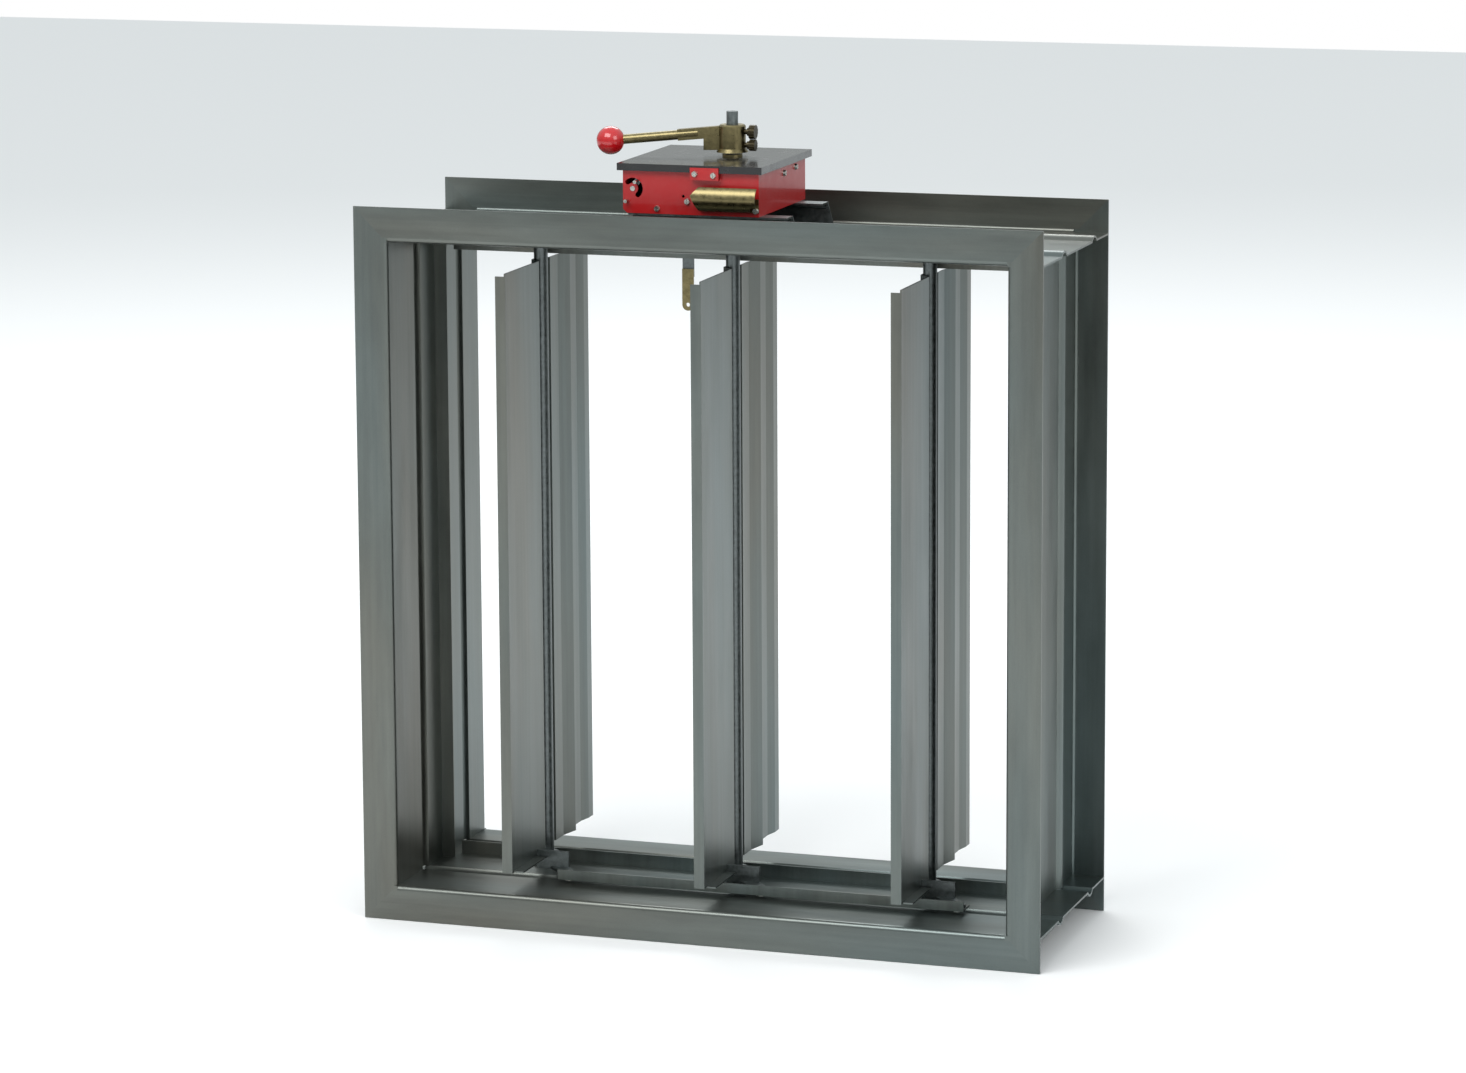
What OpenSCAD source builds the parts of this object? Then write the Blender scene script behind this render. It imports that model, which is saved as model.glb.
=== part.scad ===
// Rectangular multi-blade fire damper with a hand-reset release box.
// The width runs along X, the air flows along Y from the front face to the rear,
// Z is up, and the origin lies under the middle of the frame.

/* [Frame] */
// Width across the flanges
frame_w = 700; // [560:10:900]
// Height across the flanges
frame_h = 720; // [500:10:1000]
// Depth from flange face to flange face
frame_d = 250; // [245:5:400]
// Height of the flanges, measured from the inside of the duct
flange_h = 35; // [28:1:50]
// Thickness of the frame sheet
frame_t = 2; // [1.5:0.5:3]
// Outside radius of the frame's bends
bend_r = 5; // [3.5:0.5:8]
// Width of the stiffening beads
bead_w = 22; // [16:1:26]
// Height of the stiffening beads
bead_h = 6.5; // [4:0.5:8]
// Distance from the front face to the front bead
bead_front = 79; // [40:1:90]
// Distance from the rear face to the rear bead
bead_rear = 56; // [30:1:80]

/* [Stops] */
// Thickness of the stop angles
stop_t = 1.5; // [1:0.5:2]
// Height of the stops on the jambs and the sill
stop_h = 13; // [11:1:16]
// Height of the stop under the head
head_stop_h = 25; // [15:1:27]
// Width of the stops' welded feet
stop_foot = 12; // [8:1:16]
// Place of the jamb stops' front faces behind the middle of the frame
jamb_stop_y = 1.5; // [1:0.5:2]
// Place of the sill and head stops behind the middle of the frame
sill_stop_y = 21; // [20:1:30]

/* [Blades] */
// Distance from shaft to shaft
blade_pitch = 202; // [195:1:210]
// Place of the shafts behind the middle of the frame
shaft_y = 5; // [4:0.5:6]
// Thickness of the blade sheet
blade_t = 1.5; // [1:0.5:2]
// Reach of the blade in front of its shaft
blade_front = 111; // [108:1:112]
// Reach of the blade behind its shaft
blade_rear = 105; // [100:1:106]
// Gap from the sill to the blade's front panel
blade_gap_bottom = 17; // [16:1:30]
// Gap from the head to the blade
blade_gap_top = 29; // [27:1:40]
// Offset of the front panel from the shaft's centre line
panel_x = 3; // [2:0.5:4]
// Offset of the rear panel from the shaft's centre line
rear_x = 11; // [9:0.5:12]
// Width of the blade's front lip
lip_w = 10; // [6:1:12]
// Width of the hem along the foot of the front panel
hem_w = 10; // [5:1:14]
// Diameter of the rod along the blade
rod_d = 14; // [12:1:16]
// Diameter of the shaft journals
shaft_d = 12; // [10:1:13]

/* [Linkage] */
// Sideways place of the crank pivot from the shaft
crank_x = 46; // [40:1:50]
// Forward place of the crank pivot from the shaft
crank_y = 60; // [56:1:64]
// Thickness of the upright crank plate
crank_t = 3; // [2:0.5:4]
// Diameter of the crank pins
pin_d = 6; // [5:0.5:8]
// Height of the link bar's front wall
bar_h = 10; // [8:1:12]
// Width of the link bar
bar_w = 22; // [20:1:26]
// Thickness of the link bar
bar_t = 2; // [1.5:0.5:2.5]

/* [Release box] */
// Width of the box
box_w = 139; // [130:1:150]
// Depth of the box
box_d = 149; // [140:1:160]
// Height of the box
box_h = 43; // [40:1:60]
// Thickness of the box sheet
box_t = 1.5; // [1:0.5:2]
// Height of the brackets under the box
bracket_h = 30; // [25:1:40]
// Thickness of the bracket sheet
bracket_t = 2; // [1.5:0.5:3]
// Overhang of the lid at the sides
lid_over = 4.5; // [3:0.5:6]
// Height of the lid's rim
lid_rim = 6; // [4:0.5:8]

/* [Hand lever] */
// Diameter of the hub
hub_d = 26.6; // [24:0.2:32]
// Height of the hub
hub_h = 27; // [24:1:34]
// Length of the shaft that stands out above the hub
stub_h = 13; // [6:1:30]
// Depth turned off the shaft's end, all round
stub_cut = 0.25; // [0.25:0.25:1]
// Height of the shoulder below the turned end
stub_shoulder = 0.5; // [0.5:0.5:2]
// Distance from the shaft to the ball's centre
lever_len = 121; // [90:1:160]
// Diameter of the ball
ball_d = 28; // [20:1:36]
// Spread of the hub's flared foot
foot_spread = 2.5; // [1:0.5:3]
// Height of the hub's flared foot
foot_h = 3.5; // [2:0.5:4]
// Diameter of the lever rod
lever_rod_d = 9.5; // [6:0.5:10]

/* [Hidden] */

$fn = 64;
// Number of blades; the middle one carries the release box's shaft
blade_n = 3;
// Running clearance of a journal in its bore, on the radius
run_fit = 0.05;
// Clearance on the radius where a linkage pivot is left open
loose_fit = 0.4;
// Clearance between pieces that slide over each other
slide_gap = 0.5;
// Overlap that keeps a cut clean
cut = 1;

galvanised = [0.53, 0.57, 0.57];
dull_zinc = [0.42, 0.45, 0.45];
box_red = [0.68, 0.07, 0.08];
brass = [0.55, 0.5, 0.32];
bronze = [0.22, 0.2, 0.15];
black = [0.07, 0.07, 0.08];
bright_zinc = [0.78, 0.79, 0.76];
off_white = [0.8, 0.78, 0.72];

inner_w = frame_w - 2 * flange_h;
inner_h = frame_h - 2 * flange_h;
sill_z = flange_h;
head_z = frame_h - flange_h;
front_y = -frame_d / 2;
roof_z = head_z + frame_t;

blade_bottom = sill_z + blade_gap_bottom;
blade_top = head_z - blade_gap_top;
// The middle of the blade and its rear panel are cut shorter at the foot
mid_cut = 4;
rear_cut = 10;
lip_cut = 3;
bush_flange_t = 3;
bush_h = 13;
bush_d = 24;
bush_flange_d = 30;
rod_gap = 1.5;
shaft_end_gap = 1;

link_pivot = [crank_x, -crank_y];
pivot_gap = 0.5;
head_t = 2;
bar_z = sill_z + 1.5 + head_t + pivot_gap;
crank_z = bar_z + bar_t + 0.4;
crank_foot_t = 2.6;
crank_top = 60 - 52 + blade_bottom;
crank_face = 38;
pin_head_d = 10;
bar_end = 9;

box_z = roof_z + bracket_h;
box_x0 = -85;
box_front = shaft_y - 83;
box_top = box_z + box_h;
lid_t = 1.5;
lid_back_over = 8;
lid_front_over = 5;
lid_top = box_top + lid_rim;
neck_h = 4;
hub_z = lid_top + neck_h;
hub_top = hub_z + hub_h;
shaft_hole = shaft_d + 4;

function shaft_x(k) = (k - (blade_n + 1) / 2) * blade_pitch;

// Plane geometry of folded sheet: a centre line becomes an outline with mitred bends
function unit(v) = v / norm(v);
function left_of(v) = [-v[1], v[0]];
function side_normal(p, i) = left_of(unit(p[i + 1] - p[i]));
function mitre(p, i) =
    let (last = len(p) - 1,
         a = i == 0 ? side_normal(p, 0) : side_normal(p, i - 1),
         b = i == last ? side_normal(p, last - 1) : side_normal(p, i))
    (a + b) / (1 + a * b);
function fold_outline(p, t) = concat(
    [for (i = [0 : len(p) - 1]) p[i] + mitre(p, i) * t / 2],
    [for (i = [len(p) - 1 : -1 : 0]) p[i] - mitre(p, i) * t / 2]);

module fold(p, t) {
    polygon(fold_outline(p, t));
}

module ring_quarter(r, t) {
    intersection() {
        difference() {
            circle(r);
            circle(r - t);
        }
        translate([-r, -r]) square(r);
    }
}

// Arched stiffening bead, open towards the duct
bead_r = (bead_w * bead_w / 4 + bead_h * bead_h) / (2 * bead_h);
bead_mouth = sqrt(pow(bead_r - frame_t, 2) - pow(bead_r - bead_h, 2));

module bead() {
    difference() {
        translate([0, bead_h - bead_r]) circle(bead_r);
        translate([0, bead_h - bead_r]) circle(bead_r - frame_t);
        translate([-2 * bead_r, -4 * bead_r]) square(4 * bead_r);
    }
}

// Section of a frame member: x runs from the front face to the rear, y away from the duct
module member_section() {
    beads = [bead_front, frame_d - bead_rear];
    difference() {
        translate([bend_r, 0]) square([frame_d - 2 * bend_r, frame_t]);
        for (b = beads) {
            translate([b - bead_mouth, -cut]) square([2 * bead_mouth, frame_t + 2 * cut]);
        }
    }
    for (b = beads) {
        translate([b, 0]) bead();
    }
    for (side = [0, 1]) {
        translate([side * frame_d, 0]) mirror([side, 0]) {
            translate([0, bend_r]) square([frame_t, flange_h - bend_r]);
            translate([bend_r, bend_r]) ring_quarter(bend_r, frame_t);
        }
    }
}

// Piece of the jamb's flange beside the sill, cut along the corner's mitre
module flange_corner() {
    polygon([[0, 0], [flange_h, 0], [flange_h, -flange_h], [bend_r, -bend_r], [0, -bend_r]]);
}

// That piece in the front and the rear flange, at the lower right corner of the frame
module corner_pieces() {
    for (side = [0, 1]) {
        mirror([0, side, 0]) translate([inner_w / 2, front_y + frame_t, sill_z])
            rotate([90, 0, 0]) linear_extrude(frame_t) flange_corner();
    }
}

// What the sill loses at the lower right corner, and the web that closes up to the flange
module corner_cut() {
    for (side = [0, 1]) {
        mirror([0, side, 0]) translate([inner_w / 2, front_y, sill_z]) {
            translate([0, -cut, -bend_r]) cube([flange_h + cut, bend_r + cut, bend_r + cut]);
            translate([0, frame_t + cut, 0]) rotate([90, 0, 0]) linear_extrude(frame_t + 2 * cut)
                polygon([[bend_r - cut, cut], [flange_h + cut, cut], [flange_h + cut, -flange_h - cut],
                         [bend_r - cut, cut - bend_r]]);
        }
    }
}

module corner_web() {
    for (side = [0, 1]) {
        mirror([0, side, 0]) translate([inner_w / 2, front_y + frame_t, sill_z - frame_t])
            cube([flange_h, bend_r - frame_t, frame_t]);
    }
}

module sill_member() {
    difference() {
        translate([-frame_w / 2, front_y, sill_z]) rotate([90, 0, 90])
            linear_extrude(frame_w) mirror([0, 1]) member_section();
        for (side = [0, 1]) {
            mirror([side, 0, 0]) corner_cut();
        }
    }
    for (side = [0, 1]) {
        mirror([side, 0, 0]) corner_web();
    }
}

module jamb_member() {
    translate([inner_w / 2, front_y, sill_z]) linear_extrude(inner_h)
        mirror([1, -1]) member_section();
    corner_pieces();
    translate([0, 0, frame_h]) mirror([0, 0, 1]) corner_pieces();
}

module frame_bottom() {
    color(galvanised) sill_member();
}

module frame_top() {
    color(galvanised) difference() {
        translate([0, 0, frame_h]) mirror([0, 0, 1]) sill_member();
        translate([0, shaft_y, head_z - cut]) cylinder(h = frame_t + 2 * cut, d = shaft_hole);
    }
}

module frame_right() {
    color(galvanised) jamb_member();
}

module frame_left() {
    color(galvanised) mirror([1, 0, 0]) jamb_member();
}

// Stop angle: the foot lies on the duct wall and the leg stands into the duct
module stop_angle(length, leg) {
    linear_extrude(length) {
        square([leg, stop_t]);
        translate([0, stop_t]) square([stop_t, stop_foot]);
    }
}

module stop_left() {
    color(galvanised) translate([-inner_w / 2, jamb_stop_y, sill_z]) stop_angle(inner_h, stop_h);
}

module stop_right() {
    color(galvanised) translate([inner_w / 2, jamb_stop_y, sill_z]) mirror([1, 0, 0])
        stop_angle(inner_h, stop_h);
}

// The sill and head stops stand between the feet of the jamb stops
module cross_stop(leg) {
    length = inner_w - 2 * (stop_h + slide_gap);
    translate([-length / 2, sill_stop_y, 0]) rotate([0, 90, 0]) mirror([1, 0, 0])
        stop_angle(length, leg);
}

module stop_bottom() {
    color(galvanised) translate([0, 0, sill_z]) cross_stop(stop_h);
}

module stop_top() {
    color(galvanised) translate([0, 0, head_z]) mirror([0, 0, 1]) cross_stop(head_stop_h);
}

// Flanged bush that stands on the sill and carries a shaft's journal
module bush() {
    difference() {
        union() {
            cylinder(h = bush_flange_t, d = bush_flange_d);
            cylinder(h = bush_h, d = bush_d);
        }
        translate([0, 0, -cut]) cylinder(h = bush_h + 2 * cut, r = shaft_d / 2 + run_fit);
    }
}

module bottom_bush(k) {
    color(dull_zinc) translate([shaft_x(k), shaft_y, sill_z]) bush();
}

module top_bush(k) {
    color(dull_zinc) translate([shaft_x(k), shaft_y, head_z]) mirror([0, 0, 1]) bush();
}

// Centre line of the blade seen from above: lip, front panel, trough for the rod,
// raised rib, rear panel and its end strip
trough_x = rod_d / 2 + blade_t / 2;
trough_half = 4;
trough_mouth = 16;
rib_start = 38;
rib_end = 60;
rib_x = panel_x + 5;
rear_bend = 77;
rear_land = 92;
blade_line = [
    [panel_x - lip_w, -blade_front + blade_t / 2],
    [panel_x, -blade_front + blade_t / 2],
    [panel_x, -trough_mouth],
    [-trough_x, -trough_half],
    [-trough_x, trough_half],
    [panel_x, trough_mouth],
    [panel_x, rib_start],
    [rib_x, rib_end],
    [rib_x, rear_bend],
    [rear_x, rear_land],
    [rear_x, blade_rear]];

module blade_body() {
    difference() {
        translate([0, 0, blade_bottom]) linear_extrude(blade_top - blade_bottom)
            fold(blade_line, blade_t);
        // The foot steps up behind the front panel and again at the rear panel
        translate([-lip_w * 2, -trough_mouth, blade_bottom - cut])
            cube([4 * lip_w, 2 * blade_rear, mid_cut + cut]);
        translate([-lip_w * 2, rib_end + blade_t, blade_bottom - cut])
            cube([4 * lip_w, blade_rear, rear_cut + cut]);
        // The lip ends a little below the panel
        translate([panel_x - lip_w - cut, -blade_front - cut, blade_top - lip_cut])
            cube([lip_w + cut - blade_t / 2, 2 * cut + blade_t, lip_cut + cut]);
    }
    // Hem that stiffens the foot of the front panel
    translate([panel_x + blade_t / 2, -blade_front + lip_w / 2, blade_bottom])
        cube([hem_w, blade_front - lip_w / 2 - hem_end, blade_t]);
}
hem_end = 43;

module blade(k) {
    color(galvanised) translate([shaft_x(k), shaft_y, 0]) blade_body();
}

// Rod along the blade with a journal at each end
module shaft_body(top) {
    rod_bottom = sill_z + bush_h + rod_gap;
    rod_top = head_z - bush_h - rod_gap;
    translate([0, 0, rod_bottom]) cylinder(h = rod_top - rod_bottom, d = rod_d);
    translate([0, 0, sill_z + shaft_end_gap]) cylinder(h = top - sill_z - shaft_end_gap, d = shaft_d);
}

module shaft(k) {
    middle = (blade_n + 1) / 2;
    top = k == middle ? hub_top + stub_shoulder : head_z - shaft_end_gap;
    color(dull_zinc) translate([shaft_x(k), shaft_y, 0]) {
        shaft_body(top);
        if (k == middle) {
            translate([0, 0, top]) cylinder(h = stub_h - stub_shoulder, d = shaft_d - 2 * stub_cut);
        }
    }
}

// Crank: an upright plate welded to the blade, with a foot that reaches out to the link bar
module crank_body() {
    start_x = panel_x + blade_t / 2;
    plate_y = -hem_end + crank_t;
    eye_r = bar_w / 2 - bar_t - 1;
    translate([start_x, plate_y - crank_t / 2, crank_z])
        cube([crank_face - start_x, crank_t, crank_top - crank_z]);
    difference() {
        translate([0, 0, crank_z]) linear_extrude(crank_foot_t) {
            polygon([[crank_face - 22, plate_y + crank_t / 2],
                     [crank_face, plate_y + crank_t / 2],
                     [crank_x + eye_r, link_pivot[1] + 2],
                     [crank_x - eye_r, link_pivot[1] - 2]]);
            translate(link_pivot) circle(eye_r);
        }
        translate([link_pivot[0], link_pivot[1], crank_z - cut])
            cylinder(h = crank_foot_t + 2 * cut, d = pin_d);
    }
}

module crank(k) {
    color(dull_zinc) translate([shaft_x(k), shaft_y, 0]) crank_body();
}

// Pin that is riveted in the crank's foot and turns in the link bar
module crank_pin(k) {
    pin_bottom = bar_z - pivot_gap - head_t;
    pin_top = crank_z + crank_foot_t;
    color(bright_zinc) translate([shaft_x(k) + link_pivot[0], shaft_y + link_pivot[1], 0]) {
        translate([0, 0, pin_bottom]) cylinder(h = head_t, d = pin_head_d);
        translate([0, 0, pin_bottom]) cylinder(h = pin_top - pin_bottom, d = pin_d);
        translate([0, 0, pin_top]) cylinder(h = head_t, d1 = pin_head_d - 1, d2 = pin_head_d - 3);
    }
}

// Angle bar that joins the three cranks
module link_bar() {
    length = (blade_n - 1) * blade_pitch + 2 * bar_end;
    middle = (blade_n + 1) / 2;
    color(galvanised) difference() {
        translate([shaft_x(1) + crank_x - bar_end, shaft_y + link_pivot[1] - bar_w / 2, bar_z]) {
            cube([length, bar_w, bar_t]);
            cube([length, bar_t, bar_h]);
        }
        for (k = [1 : blade_n]) {
            fit = k == middle ? run_fit : loose_fit;
            translate([shaft_x(k) + crank_x, shaft_y + link_pivot[1], bar_z - cut])
                cylinder(h = bar_t + 2 * cut, r = pin_d / 2 + fit);
        }
    }
}

bracket_left = box_x0 + 5;
bracket_right = 82;
bracket_splay = 8;
bracket_flange = 18;
bracket_foot = 16;
curl_r = 2.5;
curl_sink = 0.4;

// Folded bracket: foot on the duct, upright plate, and a flange under the box
module box_bracket() {
    width = bracket_right - bracket_left;
    translate([bracket_left, 0, 0]) {
        translate([0, bracket_t, 0]) rotate([90, 0, 0]) linear_extrude(bracket_t)
            polygon([[0, 0], [width + bracket_splay, 0], [width, bracket_h], [0, bracket_h]]);
        translate([0, -bracket_flange, bracket_h - bracket_t])
            cube([width, bracket_flange, bracket_t]);
        translate([0, -bracket_foot, 0]) cube([width + bracket_splay, bracket_foot, bracket_t]);
        // Rolled edge under the flange
        translate([0, curl_sink - curl_r, bracket_h - bracket_t - curl_r + curl_sink])
            rotate([0, 90, 0])
            difference() {
                cylinder(h = width, r = curl_r);
                translate([0, 0, -cut]) cylinder(h = width + 2 * cut, r = curl_r / 2);
            }
    }
}

// The brackets stand in front of the head's beads
module bracket_rear() {
    bead_edge = frame_d / 2 - bead_rear - bead_w / 2;
    color(dull_zinc) translate([0, bead_edge - slide_gap - bracket_t, roof_z]) box_bracket();
}

module bracket_front() {
    bead_edge = bead_front - frame_d / 2 - bead_w / 2;
    color(dull_zinc) translate([0, bead_edge - slide_gap - bracket_t, roof_z]) box_bracket();
}

// Arc slot in the box front for the release pin
slot_c = [box_x0 + 10, box_z + 24];
slot_r = 8;
slot_w = 5;
slot_from = -50;
slot_to = 130;
latch_rest = 60;
// Sizes of the tab that holds the lid
tab_x = [-14, 15];
tab_h = 12;
tab_foot = 1.5;
tab_screw_z = box_top - 4;
chamfer = 4;
release_d = 3.6;
pivot_d = 5;

function polar(r, a) = [r * cos(a), r * sin(a)];

// Outline of the slot: outer arc, round end, inner arc, round end
module arc_slot_2d() {
    steps = 16;
    outer = slot_r + slot_w / 2;
    inner = slot_r - slot_w / 2;
    polygon(concat(
        [for (i = [0 : steps]) polar(outer, slot_from + (slot_to - slot_from) * i / steps)],
        [for (i = [1 : steps - 1]) polar(slot_r, slot_to) + polar(slot_w / 2, slot_to + 180 * i / steps)],
        [for (i = [0 : steps]) polar(inner, slot_to - (slot_to - slot_from) * i / steps)],
        [for (i = [1 : steps - 1])
            polar(slot_r, slot_from) + polar(slot_w / 2, slot_from + 180 + 180 * i / steps)]));
}

module front_shape() {
    polygon([[0, chamfer], [chamfer, 0], [box_w, 0], [box_w, box_h], [0, box_h]]);
}

module inside_shape() {
    inset = chamfer + box_t * (sqrt(2) - 1);
    polygon([[box_t, inset], [inset, box_t], [box_w - box_t, box_t],
             [box_w - box_t, box_h + cut], [box_t, box_h + cut]]);
}

// Turns a plane shape so that it stands in the front face, its thickness running back
module stand_front(x, y, z, depth) {
    translate([x, y + depth, z]) rotate([90, 0, 0]) linear_extrude(depth) children();
}

screw_hole_d = 3;
cover_screw = [51, box_z + 6];
left_screw = [-50, box_z + 5];
mid_screw = [-19, box_z + 13];
spy_hole = [-23, box_z + 18];
tab_screws = [[-9, tab_screw_z + 2], [10, tab_screw_z + 1]];
front_screws = [cover_screw, left_screw, mid_screw];
side_screws = [[-3 + shaft_y, box_top - 9], [34 + shaft_y, box_top - 7]];

module box() {
    color(box_red) difference() {
        union() {
            difference() {
                stand_front(box_x0, box_front, box_z, box_d) front_shape();
                stand_front(box_x0, box_front + box_t, box_z, box_d - 2 * box_t) inside_shape();
            }
            // Tab that reaches up in front of the lid's rim
            translate([tab_x[0], box_front - lid_front_over - box_t - 0.2, box_top - 8])
                cube([tab_x[1] - tab_x[0], lid_front_over + box_t + 0.2, tab_foot]);
            translate([tab_x[0], box_front - lid_front_over - box_t - 0.2, box_top - 8])
                cube([tab_x[1] - tab_x[0], box_t, tab_h]);
        }
        stand_front(slot_c[0], box_front - cut, slot_c[1], box_t + 2 * cut) arc_slot_2d();
        for (s = concat(front_screws, [spy_hole])) {
            stand_front(s[0], box_front - cut, s[1], box_t + 2 * cut) circle(d = screw_hole_d);
        }
        for (s = tab_screws) {
            stand_front(s[0], box_front - lid_front_over - box_t - cut, s[1], box_t + cut)
                circle(d = screw_hole_d);
        }
        for (s = side_screws) {
            translate([box_x0 + box_w - box_t - cut, s[0], s[1]]) rotate([0, 90, 0])
                cylinder(h = box_t + 2 * cut, d = screw_hole_d);
        }
        translate([0, shaft_y, box_z - cut]) cylinder(h = box_t + 2 * cut, d = shaft_hole);
        // Bores for the latch pivot and the stop pin
        stand_front(slot_c[0], box_front - cut, slot_c[1], box_t + 2 * cut) circle(d = pivot_d);
        stand_front(stop_pin_at[0], box_front - cut, stop_pin_at[1], box_t + 2 * cut)
            circle(d = release_d);
    }
}
stop_pin_at = [box_x0 + 4.5, box_z + 12];

module box_lid() {
    width = box_w + 2 * lid_over;
    depth = box_d + lid_front_over + lid_back_over;
    color(black) translate([box_x0 - lid_over, box_front - lid_front_over, box_top]) difference() {
        translate([0, 0, -1]) cube([width, depth, lid_rim + 1]);
        translate([lid_t, lid_t, -1 - cut])
            cube([width - 2 * lid_t, depth - 2 * lid_t, lid_rim + 1 + cut - lid_t]);
        translate([lid_over - box_x0, lid_front_over - box_front + shaft_y, -cut])
            cylinder(h = lid_rim + 2 * cut, d = shaft_hole);
        for (s = tab_screws) {
            translate([s[0] - box_x0 + lid_over, lid_t + cut, s[1] - box_top])
                rotate([90, 0, 0]) cylinder(h = lid_t + 2 * cut, d = screw_hole_d);
        }
    }
    // Spacers hold the lid's plate on the side walls
    color(black) for (x = [box_x0, box_x0 + box_w - lid_pad]) {
        for (y = [box_front + 2 * lid_pad, box_front + box_d - 3 * lid_pad]) {
            translate([x, y, box_top]) cube([lid_pad, lid_pad, lid_rim - lid_t]);
        }
    }
}
lid_pad = 10;

// Flanged bush in the lid that carries the top of the middle shaft
module lid_bush() {
    color(brass) translate([0, shaft_y, 0]) difference() {
        union() {
            translate([0, 0, lid_top - lid_rim]) cylinder(h = lid_rim, d = shaft_hole);
            translate([0, 0, lid_top]) cylinder(h = neck_h / 2, d = shaft_hole + 4);
        }
        translate([0, 0, lid_top - lid_rim - cut])
            cylinder(h = lid_rim + neck_h + 2 * cut, r = shaft_d / 2 + run_fit);
    }
}

// Pan-head screw that points to +Y, its head's underside at the origin
module pan_screw(length) {
    head_d = 6.4;
    head_h = 2.2;
    difference() {
        union() {
            rotate([90, 0, 0]) cylinder(h = head_h, d1 = head_d, d2 = head_d - 1.4);
            rotate([-90, 0, 0]) cylinder(h = length, d = screw_hole_d);
        }
        translate([-head_d / 2, -head_h - cut, -0.4]) cube([head_d, cut + 1, 0.8]);
        translate([-0.4, -head_h - cut, -head_d / 2]) cube([0.8, cut + 1, head_d]);
    }
}

module box_screws() {
    color(bright_zinc) {
        for (s = [left_screw, mid_screw]) {
            translate([s[0], box_front, s[1]]) pan_screw(6);
        }
        translate([cover_screw[0], box_front - cover_t, cover_screw[1]]) pan_screw(8);
        for (s = tab_screws) {
            translate([s[0], box_front - lid_front_over - box_t - 0.2, s[1]])
                pan_screw(box_t + lid_t + 0.2);
        }
        for (s = side_screws) {
            translate([box_x0 + box_w, s[0], s[1]]) rotate([0, 0, 90]) pan_screw(5);
        }
    }
}

// Curled sheet over the terminals, with a scalloped lower edge
cover_x = [-12, 54];
cover_r = 13.5;
cover_t = 1;
cover_open = 35;
cover_point = 3;
cover_z = box_z + 17.5;
scallop_n = 8;
scallop_d = 5;

// Section seen from the right: open at the top, round at the front, flat against the box
module cover_section() {
    difference() {
        circle(cover_r);
        circle(cover_r - cover_t);
        translate([0, -2 * cover_r]) square(4 * cover_r);
        rotate(cover_open) translate([0, -2 * cover_r]) square(4 * cover_r);
    }
    translate([-cover_t, -cover_r]) square([cover_t, cover_r]);
}

module terminal_cover() {
    length = cover_x[1] - cover_x[0];
    pitch = length / (scallop_n + 0.5);
    tooth_z = cover_z - cover_r + 1.4;
    color(brass) difference() {
        translate([cover_x[0], box_front, cover_z]) rotate([90, 0, 90])
            linear_extrude(length) cover_section();
        // Scallops along the lower edge
        for (i = [0.75 : 1 : scallop_n]) {
            translate([cover_x[0] + i * pitch, box_front - cover_r / 3, tooth_z - scallop_d / 2])
                rotate([90, 0, 0]) cylinder(h = cover_r, d = scallop_d);
        }
        // The left end is cut to a point
        translate([cover_x[0], box_front - 2 * cover_r, cover_z + cover_point])
            rotate([0, 42, 0]) translate([-2 * cover_r, 0, 0])
                cube([2 * cover_r, 3 * cover_r, 3 * cover_r]);
        translate([cover_x[0], box_front - 2 * cover_r, cover_z + cover_point])
            rotate([0, -24, 0]) translate([-2 * cover_r, 0, -3 * cover_r])
                cube([2 * cover_r, 3 * cover_r, 3 * cover_r]);
        // Hole and room for the screw
        translate([cover_screw[0], box_front + cut, cover_screw[1]]) rotate([90, 0, 0])
            cylinder(h = cover_t + 2 * cut, d = screw_hole_d);
        translate([cover_screw[0], box_front - cover_t, cover_screw[1]]) rotate([90, 0, 0])
            cylinder(h = 2 * cover_r, d = 8.4);
    }
}

module terminal_block() {
    block = [44, 7, 11];
    ways = 4;
    color(off_white) translate([2, box_front - block[1] - cover_t, cover_z - block[2] / 2]) difference() {
        cube(block);
        for (i = [0 : ways - 1]) {
            translate([block[0] * (i + 0.5) / ways, 4, block[2] / 2]) rotate([90, 0, 0])
                cylinder(h = 6, d = 6);
        }
    }
}

// Latch inside the box: a short lever on a pivot, with the pin that shows in the slot
latch_t = 2;
latch_y = box_front + box_t + 1;

module latch_lever() {
    tip = polar(slot_r, latch_rest);
    color(dull_zinc) stand_front(slot_c[0], latch_y, slot_c[1], latch_t) difference() {
        union() {
            circle(pivot_d / 2 + 1.6);
            rotate(latch_rest) translate([0, -3]) square([slot_r, 6]);
            translate(tip) circle(3);
        }
        circle(pivot_d / 2 + run_fit);
        translate(tip) circle(release_d / 2);
    }
}

module latch_pivot() {
    color(bright_zinc) translate([slot_c[0], box_front - 0.5, slot_c[1]]) rotate([-90, 0, 0]) {
        cylinder(h = latch_t + box_t + 3, d = pivot_d);
        translate([0, 0, latch_y + latch_t + 0.4 - box_front + 0.5]) cylinder(h = 1, d = pivot_d + 2);
    }
}

module release_pin() {
    tip = polar(slot_r, latch_rest);
    color(bright_zinc) translate([slot_c[0] + tip[0], box_front - 6, slot_c[1] + tip[1]])
        rotate([-90, 0, 0]) cylinder(h = 6 + box_t + 1 + latch_t, d = release_d);
}

module stop_pin() {
    color(bright_zinc) translate([stop_pin_at[0], box_front - 7, stop_pin_at[1]])
        rotate([-90, 0, 0]) cylinder(h = 7 + box_t, d = release_d);
}

// Cam on the shaft, with the notch that the latch holds
cam_d = 56;
cam_t = 4;
cam_z = box_z + 24;

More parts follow.
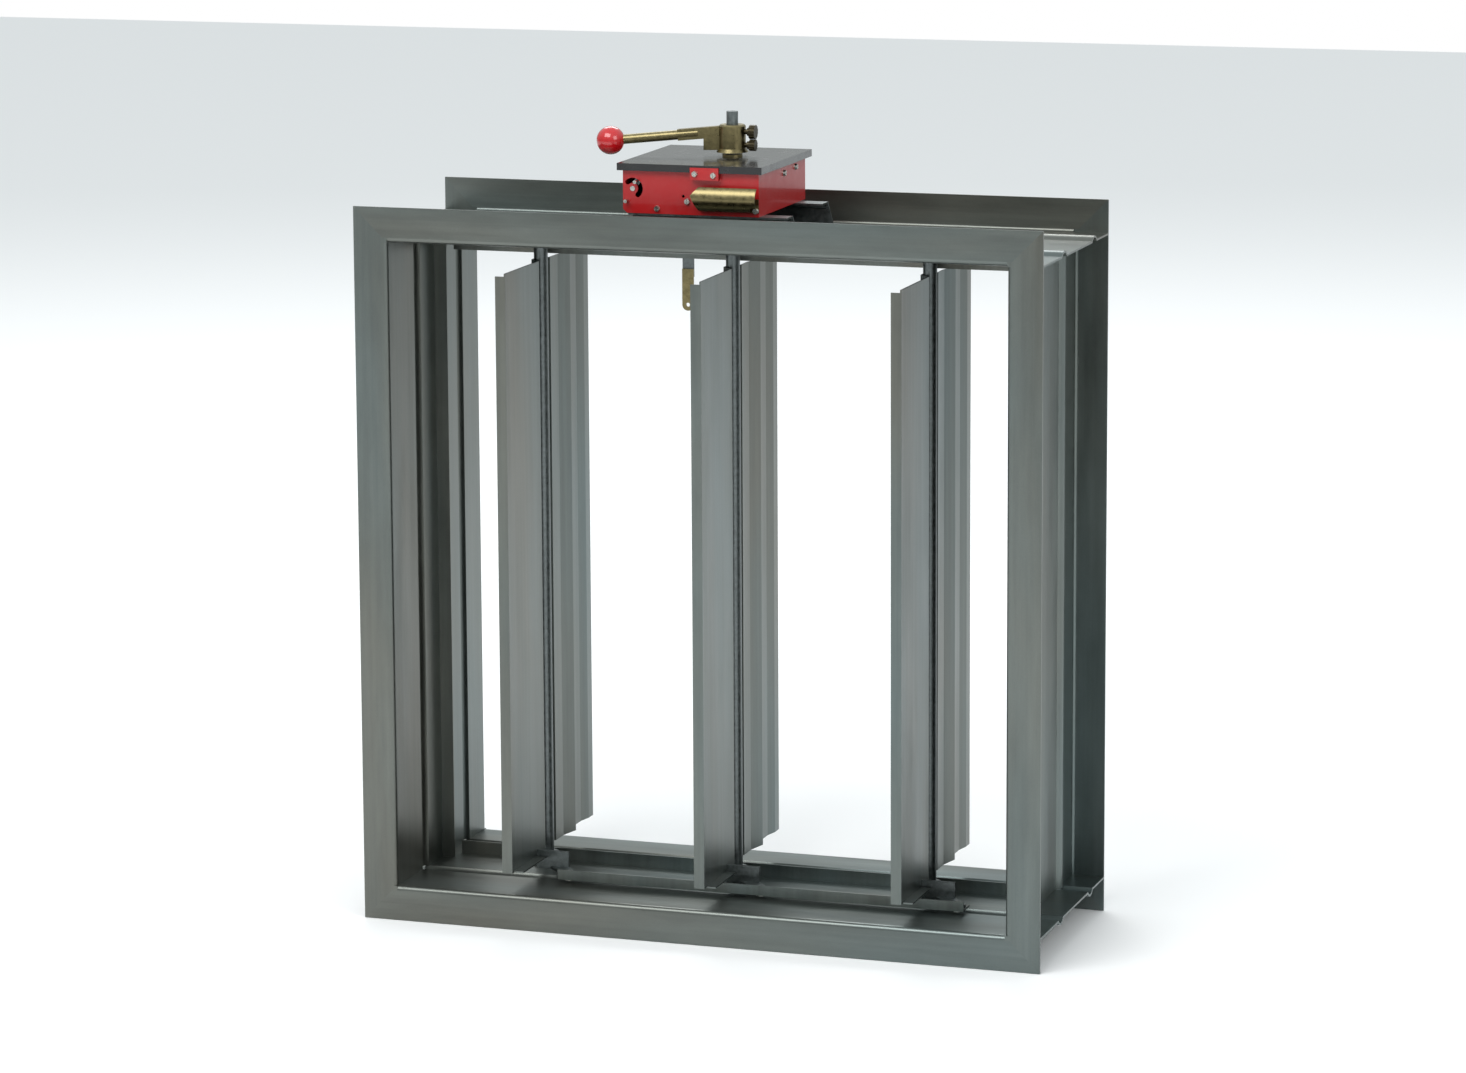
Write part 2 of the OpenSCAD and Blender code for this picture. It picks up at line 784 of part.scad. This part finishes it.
module drive_cam() {
    color(dull_zinc) translate([0, shaft_y, cam_z]) difference() {
        union() {
            cylinder(h = cam_t, d = cam_d);
            translate([0, 0, -4]) cylinder(h = cam_t + 8, d = shaft_d + 10);
        }
        translate([0, 0, -4 - cut]) cylinder(h = cam_t + 8 + 2 * cut, d = shaft_d);
        rotate(130) translate([cam_d / 2 - 6, -4, -cut]) cube([cam_d, 8, cam_t + 2 * cut]);
        for (a = [20, 250]) {
            rotate(a) translate([cam_d / 2 - 9, 0, -cut]) cylinder(h = cam_t + 2 * cut, d = 5);
        }
    }
}

// Return spring: a coil of square turns around the shaft, below the cam
spring_r = 18;
wire_d = 3.2;
coil_n = 4;
coil_sides = 8;
coil_steps = 24;
coil_pitch = 3.6;
function coil_ring(i) =
    let (a = 360 * i / coil_steps, z = coil_pitch * i / coil_steps)
    [for (j = [0 : coil_sides - 1])
        let (b = 360 * j / coil_sides, r = spring_r + wire_d / 2 * cos(b))
        [r * cos(a), r * sin(a), z + wire_d / 2 * sin(b)]];

module return_spring() {
    last = coil_n * coil_steps;
    points = [for (i = [0 : last]) each coil_ring(i)];
    walls = [for (i = [0 : last - 1]) for (j = [0 : coil_sides - 1])
        let (a = i * coil_sides + j, b = i * coil_sides + (j + 1) % coil_sides)
        [a, a + coil_sides, b + coil_sides, b]];
    first_end = [for (j = [0 : coil_sides - 1]) j];
    last_end = [for (j = [coil_sides - 1 : -1 : 0]) last * coil_sides + j];
    color(dull_zinc) translate([0, shaft_y, box_z + box_t + wire_d / 2])
        polyhedron(points, concat(walls, [first_end], [last_end]));
}

module position_switch() {
    body = [28, 10, 16];
    color(black) translate([box_x0 + 16, box_front + box_d - 40, box_z + box_t]) {
        cube(body);
        translate([6, 3, body[2]]) cube([4, 4, 1.5]);
    }
}

// Hand lever: hub, rod and ball turn with the middle shaft
lever_turn = 192;
lever_droop = 5;
ear_len = 52;
ear_h = 11;
ear_w = 8;
ear_drop = 6;
hub_chamfer = 1.5;
screw_d = 5;
screw_tip = shaft_d / 2 + 0.2;
upper_screw_z = hub_top - 7;
lower_screw_z = hub_z + 7;

// Places children along the lever, x running from the shaft's axis towards the ball
module along_lever() {
    translate([0, shaft_y, hub_top - ear_drop]) rotate([0, 0, lever_turn])
        rotate([0, lever_droop, 0]) children();
}

module lever_hub() {
    color(brass) difference() {
        union() {
            translate([0, shaft_y, hub_z]) {
                cylinder(h = hub_h - hub_chamfer, d = hub_d);
                cylinder(h = foot_h, d1 = hub_d + 2 * foot_spread, d2 = hub_d);
                translate([0, 0, hub_h - hub_chamfer])
                    cylinder(h = hub_chamfer, d1 = hub_d, d2 = hub_d - 2 * hub_chamfer);
            }
            along_lever() translate([shaft_d / 2 + 2, -ear_w / 2, -ear_h / 2])
                cube([ear_len - shaft_d / 2, ear_w, ear_h]);
            // Block under the ear
            translate([0, shaft_y, hub_z + 2]) rotate([0, 0, lever_turn])
                translate([shaft_d / 2 + 2, -ear_w / 2 - 1, 0]) cube([20, ear_w + 2, 14]);
        }
        translate([0, shaft_y, hub_z - cut]) cylinder(h = hub_h + 2 * cut, d = shaft_d);
        along_lever() translate([ear_len - 18, 0, 0]) rotate([0, 90, 0])
            cylinder(h = ear_len, d = lever_rod_d);
        for (z = [upper_screw_z, lower_screw_z]) {
            translate([0, shaft_y, z]) rotate([0, 90, 0])
                cylinder(h = hub_d, r = screw_d / 2 + run_fit);
        }
    }
}

module lever_rod() {
    color(brass) along_lever() translate([ear_len - 18, 0, 0]) rotate([0, 90, 0])
        cylinder(h = lever_len - ear_len + 18 - ball_seat, d = lever_rod_d);
}
ball_seat = 4;

module ball_knob() {
    color(box_red) along_lever() difference() {
        translate([lever_len, 0, 0]) sphere(d = ball_d);
        translate([lever_len - ball_seat, 0, 0]) rotate([0, -90, 0])
            cylinder(h = ball_d, d = lever_rod_d);
    }
}

// Thumb screw with a grooved head, its tip close to the shaft
module thumb_screw(z, head_d) {
    head_h = 6;
    shank_end = hub_d / 2 + 5;
    grooves = 12;
    color(bronze) translate([0, shaft_y, z]) rotate([0, 90, 0]) difference() {
        union() {
            translate([0, 0, screw_tip]) cylinder(h = shank_end + head_h - screw_tip, d = screw_d);
            translate([0, 0, shank_end - 2.5]) cylinder(h = 2.5, d = screw_d + 3);
            translate([0, 0, shank_end]) cylinder(h = head_h, d = head_d);
        }
        for (i = [0 : grooves - 1]) {
            rotate(360 * i / grooves) translate([head_d / 2, 0, shank_end - cut])
                cylinder(h = head_h + 2 * cut, d = 1.4, $fn = 16);
        }
    }
}

module thumb_screw_upper() {
    thumb_screw(upper_screw_z, 14);
}

module thumb_screw_lower() {
    thumb_screw(lower_screw_z, 11.5);
}

// Strip that holds the fusible link in the air stream, behind the blades' sweep
link_x = -58.5;
link_y = 40;
link_w = 12;
link_t = 1.5;
holder_len = 46;
fuse_len = 42;
fuse_t = 1.6;

module link_holder() {
    color(dull_zinc) translate([link_x - link_w / 2, link_y, head_z]) {
        translate([0, 0, -holder_len]) cube([link_w, link_t, holder_len]);
        translate([0, link_t, -link_t]) cube([link_w, stop_foot, link_t]);
    }
}

module fusible_link() {
    color(brass) translate([link_x, link_y, head_z - holder_len + 8]) rotate([90, 0, 0])
        linear_extrude(fuse_t) difference() {
            union() {
                translate([-link_w / 2, -fuse_len + link_w / 2])
                    square([link_w, fuse_len - link_w / 2]);
                translate([0, -fuse_len + link_w / 2]) circle(link_w / 2);
            }
            translate([0, -fuse_len + link_w / 2]) circle(2);
        }
}

frame_top();
frame_bottom();
frame_left();
frame_right();
stop_top();
stop_bottom();
stop_left();
stop_right();
top_bush(1);  // top_bush_1
top_bush(2);  // top_bush_2
top_bush(3);  // top_bush_3
bottom_bush(1);  // bottom_bush_1
bottom_bush(2);  // bottom_bush_2
bottom_bush(3);  // bottom_bush_3
blade(1);  // blade_1
blade(2);  // blade_2
blade(3);  // blade_3
shaft(1);  // shaft_1
shaft(2);  // shaft_2
shaft(3);  // shaft_3
crank(1);  // crank_1
crank(2);  // crank_2
crank(3);  // crank_3
crank_pin(1);  // crank_pin_1
crank_pin(2);  // crank_pin_2
crank_pin(3);  // crank_pin_3
link_bar();
bracket_front();
bracket_rear();
box();
box_lid();
lid_bush();
box_screws();
terminal_block();
terminal_cover();
latch_lever();
latch_pivot();
release_pin();
stop_pin();
drive_cam();
return_spring();
position_switch();
lever_hub();
lever_rod();
ball_knob();
thumb_screw_upper();
thumb_screw_lower();
link_holder();
fusible_link();
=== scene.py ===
"""Studio scene of a rectangular multi-blade fire damper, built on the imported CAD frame."""
import math
import random

import bmesh
import bpy
from mathutils import Matrix, Vector, noise

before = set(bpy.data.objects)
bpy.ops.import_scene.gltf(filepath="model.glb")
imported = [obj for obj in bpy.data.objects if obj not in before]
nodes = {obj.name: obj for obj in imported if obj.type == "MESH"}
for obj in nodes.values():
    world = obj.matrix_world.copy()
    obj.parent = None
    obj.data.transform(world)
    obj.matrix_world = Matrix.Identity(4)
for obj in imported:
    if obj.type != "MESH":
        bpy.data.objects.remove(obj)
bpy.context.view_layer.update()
MM = 0.001
IMAGE = (1466, 1073)
SHAFTS = (-202.0, 0.0, 202.0)
SHAFT_Y = 5.0


# --- camera, lights and floor ---

def add_camera():
    """Camera fitted to the photograph's edges; place in metres, angles in degrees."""
    yaw, pitch, roll = math.radians(19.39), math.radians(9.52), math.radians(-0.47)
    focal_px, cx, cy = 5221.06, 635.39, 416.87
    fwd = Vector((-math.sin(yaw) * math.cos(pitch), math.cos(yaw) * math.cos(pitch), -math.sin(pitch)))
    right = Vector((math.cos(yaw), math.sin(yaw), 0.0))
    up = right.cross(fwd)
    r2 = right * math.cos(roll) + up * math.sin(roll)
    u2 = up * math.cos(roll) - right * math.sin(roll)
    rot = Matrix((r2, u2, -fwd)).transposed().to_4x4()
    cam = bpy.data.objects.new("camera", bpy.data.cameras.new("camera"))
    cam.matrix_world = Matrix.Translation((1.60163, -4.83911, 1.36207)) @ rot
    cam.data.sensor_fit = "HORIZONTAL"
    cam.data.sensor_width = 36.0
    cam.data.lens = 36.0 * focal_px / IMAGE[0]
    cam.data.shift_x = (IMAGE[0] / 2 - cx) / IMAGE[0]
    cam.data.shift_y = (cy - IMAGE[1] / 2) / IMAGE[0]
    cam.data.clip_end = 100.0
    bpy.context.scene.collection.objects.link(cam)
    bpy.context.scene.camera = cam


def add_light(name, place, target, size, power, tint=(1.0, 1.0, 1.0)):
    """Rectangular soft light aimed at a point."""
    data = bpy.data.lights.new(name, "AREA")
    data.shape = "RECTANGLE"
    data.size, data.size_y = size
    data.energy = power
    data.color = tint
    lamp = bpy.data.objects.new(name, data)
    lamp.location = place
    lamp.rotation_euler = (Vector(target) - Vector(place)).to_track_quat("-Z", "Y").to_euler()
    bpy.context.scene.collection.objects.link(lamp)


def add_world():
    """White backdrop for the camera; a dimmer grey room lights the object and shows in the metal."""
    world = bpy.data.worlds.new("studio")
    world.use_nodes = True
    bpy.context.scene.world = world
    tree = world.node_tree
    tree.nodes.clear()
    out = tree.nodes.new("ShaderNodeOutputWorld")
    mix = tree.nodes.new("ShaderNodeMixShader")
    path = tree.nodes.new("ShaderNodeLightPath")
    white = tree.nodes.new("ShaderNodeBackground")
    white.inputs[0].default_value = (1, 1, 1, 1)
    room = tree.nodes.new("ShaderNodeBackground")
    coord = tree.nodes.new("ShaderNodeTexCoord")
    split = tree.nodes.new("ShaderNodeSeparateXYZ")
    ramp = tree.nodes.new("ShaderNodeValToRGB")
    tree.links.new(coord.outputs["Generated"], split.inputs[0])
    tree.links.new(split.outputs["Z"], ramp.inputs[0])
    ramp.color_ramp.elements[0].position = 0.0
    ramp.color_ramp.elements[0].color = (0.30, 0.32, 0.31, 1)
    ramp.color_ramp.elements[1].position = 0.75
    ramp.color_ramp.elements[1].color = (0.85, 0.90, 0.92, 1)
    tree.links.new(ramp.outputs[0], room.inputs[0])
    tree.links.new(path.outputs["Is Camera Ray"], mix.inputs[0])
    tree.links.new(room.outputs[0], mix.inputs[1])
    tree.links.new(white.outputs[0], mix.inputs[2])
    tree.links.new(mix.outputs[0], out.inputs[0])


def add_floor():
    mesh = bpy.data.meshes.new("floor")
    mesh.from_pydata([(-9, -9, 0), (9, -9, 0), (9, 9, 0), (-9, 9, 0)], [], [(0, 1, 2, 3)])
    floor = bpy.data.objects.new("floor", mesh)
    floor.location = (0, 0, -0.0004)
    bpy.context.scene.collection.objects.link(floor)
    mat = bpy.data.materials.new("floor")
    mat.use_nodes = True
    shader = mat.node_tree.nodes["Principled BSDF"]
    shader.inputs["Base Color"].default_value = (0.93, 0.93, 0.93, 1)
    shader.inputs["Roughness"].default_value = 0.9
    shader.inputs["Specular IOR Level"].default_value = 0.1
    mesh.materials.append(mat)


add_camera()
add_world()
add_floor()
add_light("key", (-0.8, -2.6, 3.6), (0, 0, 0.5), (3.0, 2.0), 95)
add_light("fill", (3.2, -2.0, 2.4), (0, 0, 0.4), (2.0, 2.0), 40)
add_light("back", (-1.0, 3.2, 3.2), (0, 0, 0.4), (3.0, 1.5), 60)
bpy.context.scene.view_settings.view_transform = "Standard"


# --- materials ---

class Tree:
    """Small helper for building a node material."""

    def __init__(self, name):
        self.mat = bpy.data.materials.new(name)
        self.mat.use_nodes = True
        self.tree = self.mat.node_tree
        self.shader = self.tree.nodes["Principled BSDF"]
        self.coord = self.tree.nodes.new("ShaderNodeTexCoord").outputs["Object"]

    def put(self, socket, value):
        if hasattr(value, "is_output"):
            self.tree.links.new(value, socket)
        elif isinstance(value, (tuple, list)) and len(value) == 3 and len(socket.default_value) == 4:
            socket.default_value = (*value, 1.0)
        else:
            socket.default_value = value

    def set(self, **values):
        for key, value in values.items():
            self.put(self.shader.inputs[key.replace("_", " ")], value)

    def noise(self, scale, stretch=(1, 1, 1), detail=3.0, rough=0.5, offset=(0, 0, 0)):
        place = self.tree.nodes.new("ShaderNodeMapping")
        place.inputs["Scale"].default_value = stretch
        place.inputs["Location"].default_value = offset
        self.tree.links.new(self.coord, place.inputs[0])
        tex = self.tree.nodes.new("ShaderNodeTexNoise")
        tex.inputs["Scale"].default_value = scale
        tex.inputs["Detail"].default_value = detail
        tex.inputs["Roughness"].default_value = rough
        self.tree.links.new(place.outputs[0], tex.inputs["Vector"])
        return tex.outputs["Fac"]

    def ramp(self, value, lo, hi, a=0.0, b=1.0):
        node = self.tree.nodes.new("ShaderNodeMapRange")
        node.inputs["From Min"].default_value = lo
        node.inputs["From Max"].default_value = hi
        node.inputs["To Min"].default_value = a
        node.inputs["To Max"].default_value = b
        self.put(node.inputs["Value"], value)
        return node.outputs["Result"]

    def math(self, kind, a, b=0.0):
        node = self.tree.nodes.new("ShaderNodeMath")
        node.operation = kind
        self.put(node.inputs[0], a)
        self.put(node.inputs[1], b)
        return node.outputs[0]

    def mix(self, factor, a, b, kind="MIX"):
        node = self.tree.nodes.new("ShaderNodeMix")
        node.data_type = "RGBA"
        node.blend_type = kind
        self.put(node.inputs["Factor"], factor)
        self.put(node.inputs[6], a)
        self.put(node.inputs[7], b)
        return node.outputs[2]

    def axis(self, which):
        node = self.tree.nodes.new("ShaderNodeSeparateXYZ")
        self.tree.links.new(self.coord, node.inputs[0])
        return node.outputs[which]

    def bump(self, height, strength, distance):
        node = self.tree.nodes.new("ShaderNodeBump")
        node.inputs["Strength"].default_value = strength
        node.inputs["Distance"].default_value = distance
        self.tree.links.new(height, node.inputs["Height"])
        self.put(self.shader.inputs["Normal"], node.outputs[0])


def galvanised(name, cool, warm, along="z", rough=0.34, patch=7.0, seed=0.0, share=0.5):
    """Zinc-coated sheet: rolling streaks along one axis, cool and warm patches, fine grain."""
    t = Tree(name)
    axes = {"x": (0.18, 1, 1), "y": (1, 0.18, 1), "z": (1, 1, 0.18)}[along]
    fine = {"x": (0.02, 1, 1), "y": (1, 0.02, 1), "z": (1, 1, 0.02)}[along]
    patches = t.noise(patch, axes, 3.0, 0.55, (seed, seed * 1.7, seed * 0.6))
    mottle = t.noise(34.0, axes, 4.0, 0.6, (seed, 0, 0))
    streak = t.noise(150.0, fine, 3.0, 0.6, (0, seed, 0))
    grain = t.noise(1500.0, (1, 1, 1), 2.0, 0.6)
    blend = t.ramp(patches, 0.5 - 0.16 + (0.5 - share) * 0.3, 0.5 + 0.16 + (0.5 - share) * 0.3)
    colour = t.mix(blend, cool, warm)
    tone = t.math("MULTIPLY", t.ramp(mottle, 0.3, 0.7, 0.86, 1.14), t.ramp(streak, 0.3, 0.7, 0.93, 1.07))
    tone = t.math("MULTIPLY", tone, t.ramp(grain, 0.3, 0.7, 0.96, 1.04))
    shade = t.mix(1.0, colour, (1, 1, 1), "MULTIPLY")
    node = t.tree.nodes.new("ShaderNodeVectorMath")
    node.operation = "SCALE"
    t.tree.links.new(shade, node.inputs[0])
    t.tree.links.new(tone, node.inputs["Scale"])
    t.set(Base_Color=node.outputs[0], Metallic=0.92)
    t.put(t.shader.inputs["Roughness"], t.ramp(mottle, 0.25, 0.75, rough - 0.06, rough + 0.08))
    height = t.math("ADD", t.math("MULTIPLY", mottle, 0.8), t.math("MULTIPLY", streak, 0.25))
    t.bump(height, 0.35, 0.0006)
    return t.mat


def metal(name, colour, rough, speck=0.12, metallic=1.0, scale=220.0, bump=0.15):
    """Turned or plated small metal with mottled tone."""
    t = Tree(name)
    mottle = t.noise(scale, (1, 1, 1), 4.0, 0.6)
    big = t.noise(scale / 6, (1, 1, 1), 3.0, 0.6, (3, 1, 2))
    dark = tuple(c * (1 - 2.2 * speck) for c in colour)
    bright = tuple(min(1.0, c * (1 + 1.6 * speck)) for c in colour)
    base = t.mix(t.ramp(mottle, 0.32, 0.68), dark, bright)
    base = t.mix(t.ramp(big, 0.45, 0.7, 0.0, 0.45), base, dark)
    t.set(Base_Color=base, Metallic=metallic)
    t.put(t.shader.inputs["Roughness"], t.ramp(mottle, 0.3, 0.7, rough - 0.05, rough + 0.1))
    t.bump(mottle, bump, 0.0003)
    return t.mat


def paint(name, colour, rough, dust, coat=0.0, bump=0.08):
    """Paint on sheet metal with a little dust and orange peel."""
    t = Tree(name)
    mottle = t.noise(60.0, (1, 1, 1), 4.0, 0.6)
    peel = t.noise(700.0, (1, 1, 1), 2.0, 0.5)
    faded = tuple(c + (0.30 - c) * dust for c in colour)
    t.set(Base_Color=t.mix(t.ramp(mottle, 0.42, 0.75), colour, faded))
    t.put(t.shader.inputs["Roughness"], t.ramp(mottle, 0.3, 0.7, rough, rough + 0.12))
    t.shader.inputs["Coat Weight"].default_value = coat
    t.shader.inputs["Coat Roughness"].default_value = 0.08
    t.bump(peel, bump, 0.0002)
    return t.mat


COOL = (0.150, 0.182, 0.180)
WARM = (0.160, 0.160, 0.140)
looks = {
    "frame_top": galvanised("galv_head", COOL, WARM, "x", seed=1.3),
    "frame_bottom": galvanised("galv_sill", COOL, WARM, "x", seed=4.1),
    "frame_left": galvanised("galv_left", COOL, WARM, "z", seed=2.2),
    "frame_right": galvanised("galv_right", COOL, WARM, "z", seed=7.9),
}
galv_stop = galvanised("galv_stop", COOL, WARM, "z", seed=3.0)
galv_blade = galvanised("galv_blade", COOL, WARM, "z", seed=5.5)
steel = metal("dull_steel", (0.18, 0.20, 0.20), 0.38)
bright = metal("bright_zinc", (0.62, 0.62, 0.58), 0.25)
brass = metal("brass", (0.24, 0.20, 0.10), 0.3)
dark_brass = metal("dark_brass", (0.06, 0.05, 0.03), 0.35)
red = paint("red_paint", (0.42, 0.004, 0.006), 0.35, 0.05, 0.4)
black = paint("black_paint", (0.006, 0.006, 0.007), 0.18, 0.02, 0.6)
ball = paint("red_ball", (0.50, 0.004, 0.008), 0.16, 0.02, 0.8, 0.02)
plastic = paint("plastic", (0.55, 0.52, 0.45), 0.5, 0.0)

for name, obj in nodes.items():
    if name in looks:
        look = looks[name]
    elif name.startswith("stop_") and name != "stop_pin":
        look = galv_stop
    elif name.startswith("blade_") or name == "link_bar":
        look = galv_blade
    elif name in ("box_screws", "release_pin", "stop_pin", "latch_pivot") or name.startswith("crank_pin"):
        look = bright
    elif name in ("terminal_cover", "lever_hub", "lever_rod", "lid_bush", "fusible_link"):
        look = brass
    elif name.startswith("thumb_screw"):
        look = dark_brass
    elif name == "box":
        look = red
    elif name in ("box_lid", "position_switch"):
        look = black
    elif name == "ball_knob":
        look = ball
    elif name == "terminal_block":
        look = plastic
    else:
        look = steel
    for item in obj.material_slots:
        item.material = look
